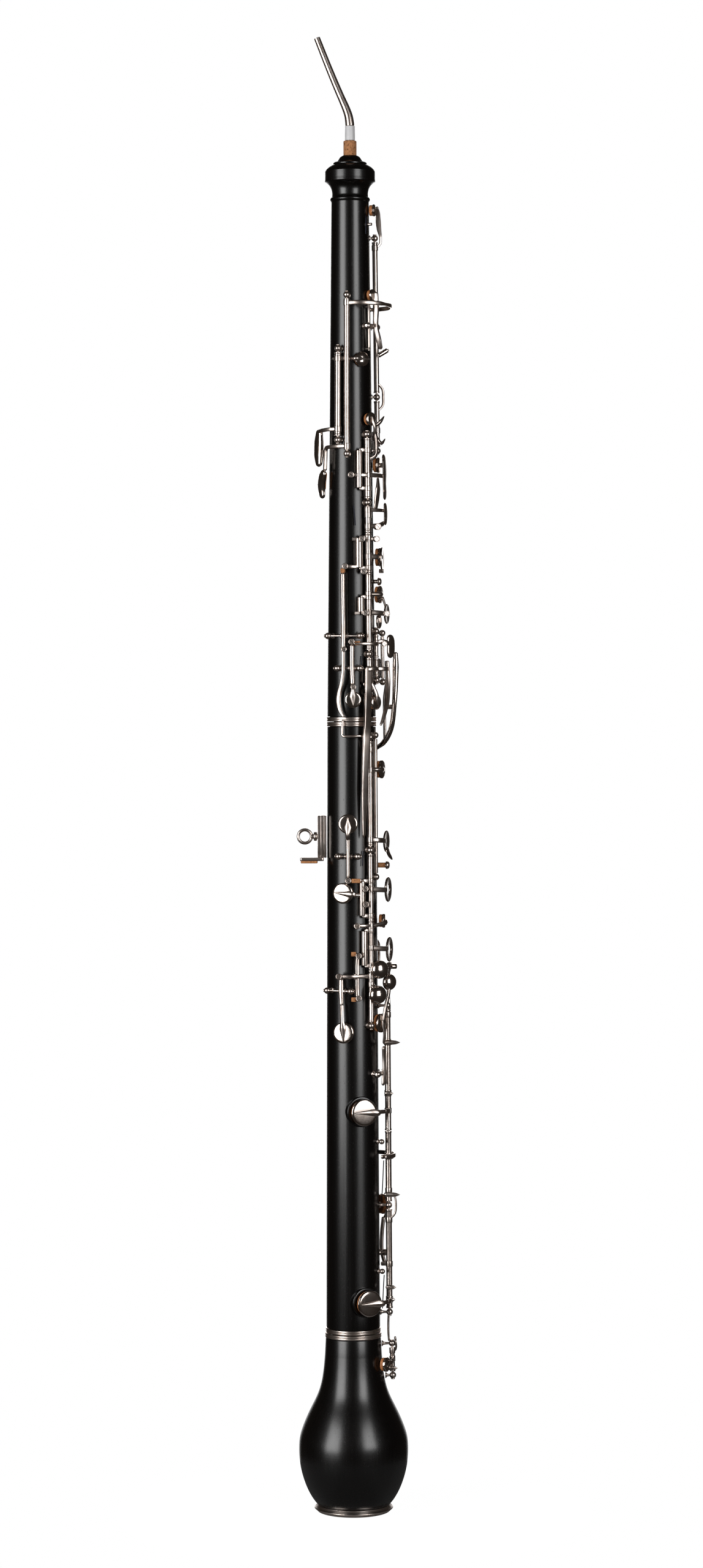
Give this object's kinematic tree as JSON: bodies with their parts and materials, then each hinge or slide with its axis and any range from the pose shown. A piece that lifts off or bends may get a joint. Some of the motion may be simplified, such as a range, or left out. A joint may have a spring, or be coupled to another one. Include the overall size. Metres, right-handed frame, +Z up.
{
  "type": "english horn",
  "caption": "Dark wooden english horn with a pear-shaped bell, slim bent bocal, silver key work on posts and an adjustable thumb rest; its joints pull apart and its keys pivot.",
  "frame": {"origin": "centre of the bell's mouth, in the plane of the rim ring's underside", "axes": "+Z up the bore towards the bocal, +X the front where the fingers go, -X the thumbs' side"},
  "size_m": [0.0648, 0.0644, 0.8701],
  "materials": {
    "grenadilla": "near-black satin oiled hardwood",
    "silver_plate": "polished silver plate",
    "cork": "bare sheet cork",
    "pad": "tan skin over felt",
    "white_sleeve": "matt white"
  },
  "bodies": {
    "bell": {"bell": "grenadilla", "bell_rim_ring": "silver_plate", "bell_socket_ring": "silver_plate", "bell_posts": "silver_plate"},
    "lower_joint": {"lower_joint": "grenadilla", "lower_joint_foot_ring": "silver_plate", "lower_joint_socket_ring": "silver_plate", "foot_tenon_cork": "cork", "thumb_rest_plate": "silver_plate", "lower_stack_posts": "silver_plate", "left_lever_posts": "silver_plate", "foot_posts": "silver_plate", "forked_vent_posts": "silver_plate", "e_flat_posts": "silver_plate", "c_sharp_posts": "silver_plate", "low_vent_posts": "silver_plate"},
    "upper_joint": {"upper_joint": "grenadilla", "upper_joint_foot_ring": "silver_plate", "middle_tenon_cork": "cork", "front_trill_posts": "silver_plate", "first_octave_posts": "silver_plate", "second_octave_posts": "silver_plate", "upper_stack_posts": "silver_plate", "left_hand_posts": "silver_plate", "rocker_posts": "silver_plate", "bridge_lever_posts": "silver_plate", "side_vent_posts": "silver_plate"},
    "bocal": {"bocal_tube": "silver_plate", "bocal_sleeve": "white_sleeve", "bocal_cork": "cork"},
    "thumb_rest": {"thumb_rest_slide": "silver_plate", "thumb_rest_cork": "cork"},
    "strap_ring": {"strap_ring_screw": "silver_plate"},
    "front_trill_key": {"front_trill_key": "silver_plate"},
    "rocker_key": {"rocker_key": "silver_plate"},
    "first_octave_key": {"first_octave_key": "silver_plate"},
    "second_octave_key": {"second_octave_key": "silver_plate"},
    "left_index_key": {"left_index_key": "silver_plate"},
    "left_middle_key": {"left_middle_key": "silver_plate", "left_middle_pad": "pad"},
    "left_ring_key": {"left_ring_key": "silver_plate"},
    "bridge_vent_key": {"bridge_vent_key": "silver_plate"},
    "side_touch_key": {"side_touch_key": "silver_plate"},
    "long_fork_lever": {"long_fork_lever": "silver_plate"},
    "bridge_lever": {"bridge_lever": "silver_plate"},
    "side_vent_key": {"side_vent_key": "silver_plate"},
    "right_index_key": {"right_index_key": "silver_plate", "right_index_pad": "pad"},
    "forked_vent_key": {"forked_vent_key": "silver_plate"},
    "right_middle_key": {"right_middle_key": "silver_plate"},
    "right_ring_key": {"right_ring_key": "silver_plate"},
    "e_flat_touch_key": {"e_flat_touch_key": "silver_plate"},
    "e_flat_key": {"e_flat_key": "silver_plate"},
    "c_sharp_key": {"c_sharp_key": "silver_plate"},
    "low_c_key": {"low_c_key": "silver_plate", "low_c_pad": "pad"},
    "low_b_key": {"low_b_key": "silver_plate"},
    "low_vent_key": {"low_vent_key": "silver_plate"},
    "left_hand_lever": {"left_hand_lever": "silver_plate"},
    "bell_key": {"bell_key": "silver_plate"}
  },
  "joints": [
    {"name": "lower_joint_pull", "type": "slide", "parent": "bell", "child": "lower_joint", "axis": [0, 0, 1], "range_m": [0, 0.02]},
    {"name": "upper_joint_pull", "type": "slide", "parent": "lower_joint", "child": "upper_joint", "axis": [0, 0, 1], "range_m": [0, 0.02]},
    {"name": "bocal_pull", "type": "slide", "parent": "upper_joint", "child": "bocal", "axis": [0, 0, 1], "range_m": [0, 0.02]},
    {"name": "thumb_rest_slide", "type": "slide", "parent": "lower_joint", "child": "thumb_rest", "axis": [0, 0, 1], "range_m": [-0.006, 0.006]},
    {"name": "strap_ring_turn", "type": "hinge", "parent": "thumb_rest", "child": "strap_ring", "pos_m": [-0.0206, 0, 0.39786], "axis": [-1, 0, 0], "range_deg": [-180, 180]},
    {"name": "front_trill_hinge", "type": "hinge", "parent": "upper_joint", "child": "front_trill_key", "pos_m": [0.01509, 0.0049, 0.68864], "axis": [-0.0098, -0.0032, 0.9999], "range_deg": [0, 4], "stiffness_Nm_per_rad": 0.05, "springref_deg": -8.59},
    {"name": "rocker_hinge", "type": "hinge", "parent": "upper_joint", "child": "rocker_key", "pos_m": [0.01289, -0.00601, 0.69834], "axis": [-0.4226, -0.9063, 0], "range_deg": [-4, 0], "stiffness_Nm_per_rad": 0.05, "springref_deg": 8.59},
    {"name": "first_octave_hinge", "type": "hinge", "parent": "upper_joint", "child": "first_octave_key", "pos_m": [-0.00753, -0.01386, 0.65805], "axis": [0.0049, 0.009, 0.9999], "range_deg": [-4.5, 0], "stiffness_Nm_per_rad": 0.05, "springref_deg": 8.59},
    {"name": "second_octave_hinge", "type": "hinge", "parent": "upper_joint", "child": "second_octave_key", "pos_m": [-0.00222, -0.01732, 0.66942], "axis": [0.0013, 0.0102, 0.9999], "range_deg": [-4, 0], "stiffness_Nm_per_rad": 0.05, "springref_deg": 8.59},
    {"name": "left_index_hinge", "type": "hinge", "parent": "upper_joint", "child": "left_index_key", "pos_m": [0.01011, -0.01342, 0.55806], "axis": [-0.0062, 0.0082, 0.9999], "range_deg": [0, 4.5], "stiffness_Nm_per_rad": 0.05, "springref_deg": -8.59},
    {"name": "left_middle_hinge", "type": "hinge", "parent": "upper_joint", "child": "left_middle_key", "pos_m": [0.01011, -0.01342, 0.55806], "axis": [-0.0062, 0.0082, 0.9999], "range_deg": [0, 4.5], "stiffness_Nm_per_rad": 0.05, "springref_deg": -8.59},
    {"name": "left_ring_hinge", "type": "hinge", "parent": "upper_joint", "child": "left_ring_key", "pos_m": [0.01011, -0.01342, 0.55806], "axis": [-0.0062, 0.0082, 0.9999], "range_deg": [0, 4.5], "stiffness_Nm_per_rad": 0.05, "springref_deg": -8.59},
    {"name": "bridge_vent_hinge", "type": "hinge", "parent": "upper_joint", "child": "bridge_vent_key", "pos_m": [0.01011, -0.01342, 0.55806], "axis": [-0.0062, 0.0082, 0.9999], "range_deg": [0, 4.6], "stiffness_Nm_per_rad": 0.01, "springref_deg": -8.59},
    {"name": "side_touch_hinge", "type": "hinge", "parent": "upper_joint", "child": "side_touch_key", "pos_m": [0.01455, -0.00945, 0.50439], "axis": [-0.0086, 0.0056, 0.9999], "range_deg": [0, 3.2], "stiffness_Nm_per_rad": 0.05, "springref_deg": -8.59},
    {"name": "long_fork_hinge", "type": "hinge", "parent": "upper_joint", "child": "long_fork_lever", "pos_m": [0.01455, -0.00945, 0.50439], "axis": [-0.0086, 0.0056, 0.9999], "range_deg": [0, 3], "stiffness_Nm_per_rad": 0.05, "springref_deg": -8.59},
    {"name": "bridge_lever_hinge", "type": "hinge", "parent": "upper_joint", "child": "bridge_lever", "pos_m": [-0.00421, -0.01488, 0.51609], "axis": [-0.9622, 0.2723, 0], "range_deg": [0, 1.5], "stiffness_Nm_per_rad": 0.01, "springref_deg": -8.59},
    {"name": "side_vent_hinge", "type": "hinge", "parent": "upper_joint", "child": "side_vent_key", "pos_m": [-0.00172, -0.01613, 0.49703], "axis": [-0.9943, 0.1063, 0], "range_deg": [-3.3, 0], "stiffness_Nm_per_rad": 0.01, "springref_deg": -8.59},
    {"name": "right_index_hinge", "type": "hinge", "parent": "lower_joint", "child": "right_index_key", "pos_m": [0.01092, -0.0145, 0.37192], "axis": [-0.0026, 0.0034, 1], "range_deg": [0, 4.5], "stiffness_Nm_per_rad": 0.05, "springref_deg": -8.59},
    {"name": "forked_vent_hinge", "type": "hinge", "parent": "lower_joint", "child": "forked_vent_key", "pos_m": [-0.00221, -0.01701, 0.38669], "axis": [-0.9917, 0.1288, 0], "range_deg": [0, 3.3], "stiffness_Nm_per_rad": 0.01, "springref_deg": -8.59},
    {"name": "right_middle_hinge", "type": "hinge", "parent": "lower_joint", "child": "right_middle_key", "pos_m": [0.01092, -0.0145, 0.37192], "axis": [-0.0026, 0.0034, 1], "range_deg": [0, 4], "stiffness_Nm_per_rad": 0.05, "springref_deg": -8.59},
    {"name": "right_ring_hinge", "type": "hinge", "parent": "lower_joint", "child": "right_ring_key", "pos_m": [0.01092, -0.0145, 0.37192], "axis": [-0.0026, 0.0034, 1], "range_deg": [0, 4], "stiffness_Nm_per_rad": 0.05, "springref_deg": -8.59},
    {"name": "e_flat_touch_hinge", "type": "hinge", "parent": "lower_joint", "child": "e_flat_touch_key", "pos_m": [0.01092, -0.0145, 0.37192], "axis": [-0.0026, 0.0034, 1], "range_deg": [-3, 0], "stiffness_Nm_per_rad": 0.05, "springref_deg": 8.59},
    {"name": "e_flat_hinge", "type": "hinge", "parent": "lower_joint", "child": "e_flat_key", "pos_m": [-0.00785, -0.01542, 0.30779], "axis": [-0.891, 0.454, 0], "range_deg": [0, 3.7], "stiffness_Nm_per_rad": 0.01, "springref_deg": -8.59},
    {"name": "c_sharp_hinge", "type": "hinge", "parent": "lower_joint", "child": "c_sharp_key", "pos_m": [0.01675, -0.00449, 0.25843], "axis": [-0.2588, -0.9659, 0], "range_deg": [0, 2], "stiffness_Nm_per_rad": 0.05, "springref_deg": -8.59},
    {"name": "low_c_hinge", "type": "hinge", "parent": "lower_joint", "child": "low_c_key", "pos_m": [0.02102, -0.00147, 0.20763], "axis": [-0.0043, 0.0003, 1], "range_deg": [-2.8, 0], "stiffness_Nm_per_rad": 0.05, "springref_deg": 8.59},
    {"name": "low_b_hinge", "type": "hinge", "parent": "lower_joint", "child": "low_b_key", "pos_m": [0.02102, -0.00147, 0.20763], "axis": [-0.0043, 0.0003, 1], "range_deg": [-2.9, 0], "stiffness_Nm_per_rad": 0.01, "springref_deg": 8.59},
    {"name": "low_vent_hinge", "type": "hinge", "parent": "lower_joint", "child": "low_vent_key", "pos_m": [0.01604, 0.00926, 0.15142], "axis": [0.5, -0.866, 0], "range_deg": [0, 2.9], "stiffness_Nm_per_rad": 0.01, "springref_deg": -8.59},
    {"name": "left_hand_lever_hinge", "type": "hinge", "parent": "lower_joint", "child": "left_hand_lever", "pos_m": [0.01274, 0.0132, 0.32761], "axis": [-0.003, -0.0031, 1], "range_deg": [-2.8, 0], "stiffness_Nm_per_rad": 0.05, "springref_deg": 8.59},
    {"name": "bell_key_hinge", "type": "hinge", "parent": "bell", "child": "bell_key", "pos_m": [0.02305, 0, 0.08903], "axis": [-0.0206, 0, 0.9998], "range_deg": [-4.3, 0], "stiffness_Nm_per_rad": 0.01, "springref_deg": 8.59}
  ],
  "couplings": [
    {"joint": "bridge_vent_hinge", "follows": "right_index_hinge", "ratio": 1},
    {"joint": "bridge_lever_hinge", "follows": "right_index_hinge", "ratio": 0.3},
    {"joint": "side_vent_hinge", "follows": "side_touch_hinge", "ratio": -1},
    {"joint": "forked_vent_hinge", "follows": "right_middle_hinge", "ratio": 0.8},
    {"joint": "e_flat_hinge", "follows": "e_flat_touch_hinge", "ratio": -1.2},
    {"joint": "low_b_hinge", "follows": "left_hand_lever_hinge", "ratio": 1},
    {"joint": "low_vent_hinge", "follows": "left_hand_lever_hinge", "ratio": -1},
    {"joint": "bell_key_hinge", "follows": "left_hand_lever_hinge", "ratio": 1.5}
  ]
}
